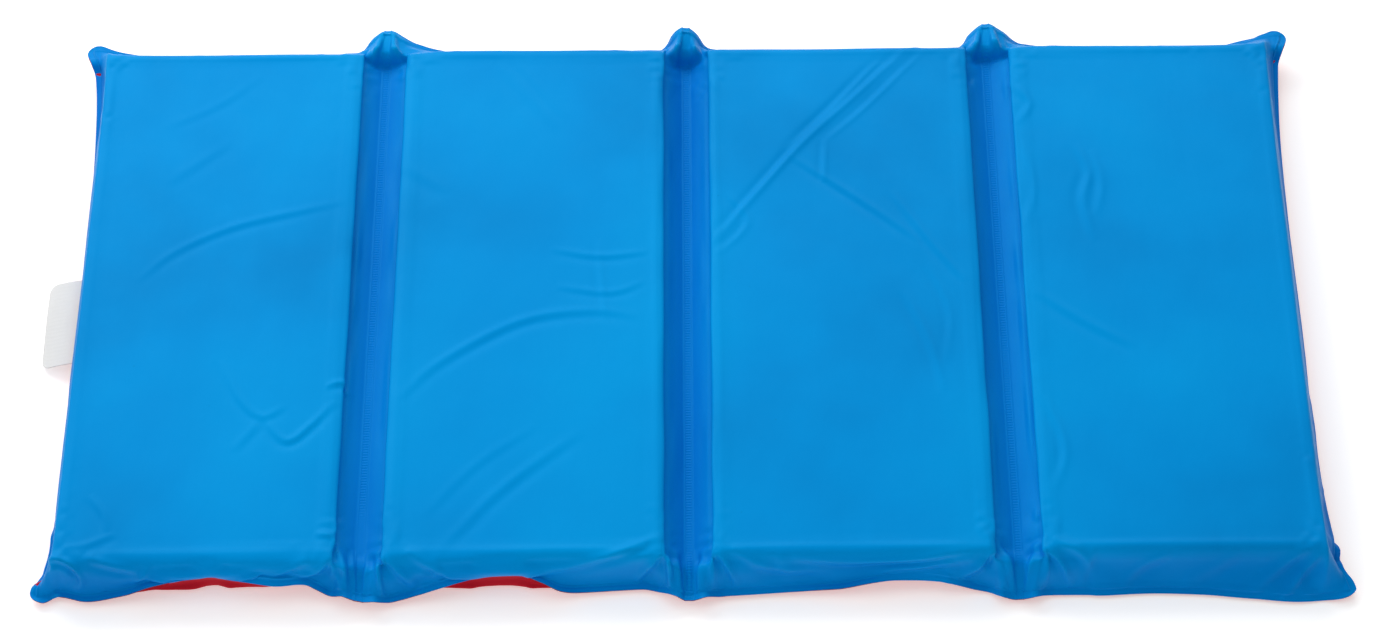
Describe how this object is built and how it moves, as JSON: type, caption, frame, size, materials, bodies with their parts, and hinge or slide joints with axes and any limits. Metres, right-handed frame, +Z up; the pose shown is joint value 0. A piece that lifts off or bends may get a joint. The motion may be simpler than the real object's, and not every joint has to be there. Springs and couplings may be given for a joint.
{
  "type": "folding mat",
  "caption": "Flat padded floor mat that folds like an accordion: foam blocks in a welded vinyl cover, with flat welded folds between the panels and a blank end label.",
  "frame": {"origin": "on the floor, under the centre of panel 1, which stays put while the other panels fold over it", "axes": "+X along the mat from the labelled end panel toward the other end, +Y across the mat, +Z up through the top sheet"},
  "size_m": [1.2802, 0.68, 0.048],
  "materials": {
    "top_vinyl": "satin",
    "bottom_vinyl": "satin",
    "foam": "matte",
    "label": "matte"
  },
  "bodies": {
    "panel_1": {"foam_core_1": "foam", "top_sheet_1": "top_vinyl", "bottom_sheet_1": "bottom_vinyl", "label": "label"},
    "fold_web_1": {"top_fold_strip_1": "top_vinyl", "bottom_fold_strip_1": "bottom_vinyl"},
    "panel_2": {"foam_core_2": "foam", "top_sheet_2": "top_vinyl", "bottom_sheet_2": "bottom_vinyl"},
    "fold_web_2": {"top_fold_strip_2": "top_vinyl", "bottom_fold_strip_2": "bottom_vinyl"},
    "panel_3": {"foam_core_3": "foam", "top_sheet_3": "top_vinyl", "bottom_sheet_3": "bottom_vinyl"},
    "fold_web_3": {"top_fold_strip_3": "top_vinyl", "bottom_fold_strip_3": "bottom_vinyl"},
    "panel_4": {"foam_core_4": "foam", "top_sheet_4": "top_vinyl", "bottom_sheet_4": "bottom_vinyl"}
  },
  "joints": [
    {"name": "fold_1_crease_a", "type": "hinge", "parent": "panel_1", "child": "fold_web_1", "pos_m": [0.13594, 0, 0.0265], "axis": [0, -1, 0], "range_deg": [0, 90]},
    {"name": "fold_1_crease_b", "type": "hinge", "parent": "fold_web_1", "child": "panel_2", "pos_m": [0.18044, 0, 0.0265], "axis": [0, -1, 0], "range_deg": [0, 90]},
    {"name": "fold_2_crease_a", "type": "hinge", "parent": "panel_2", "child": "fold_web_2", "pos_m": [0.45231, 0, 0.0215], "axis": [0, 1, 0], "range_deg": [0, 90]},
    {"name": "fold_2_crease_b", "type": "hinge", "parent": "fold_web_2", "child": "panel_3", "pos_m": [0.49681, 0, 0.0215], "axis": [0, 1, 0], "range_deg": [0, 90]},
    {"name": "fold_3_crease_a", "type": "hinge", "parent": "panel_3", "child": "fold_web_3", "pos_m": [0.76869, 0, 0.0265], "axis": [0, -1, 0], "range_deg": [0, 90]},
    {"name": "fold_3_crease_b", "type": "hinge", "parent": "fold_web_3", "child": "panel_4", "pos_m": [0.81319, 0, 0.0265], "axis": [0, -1, 0], "range_deg": [0, 90]}
  ],
  "couplings": [
    {"joint": "fold_1_crease_b", "follows": "fold_1_crease_a", "ratio": 1},
    {"joint": "fold_2_crease_b", "follows": "fold_2_crease_a", "ratio": 1},
    {"joint": "fold_3_crease_b", "follows": "fold_3_crease_a", "ratio": 1}
  ]
}
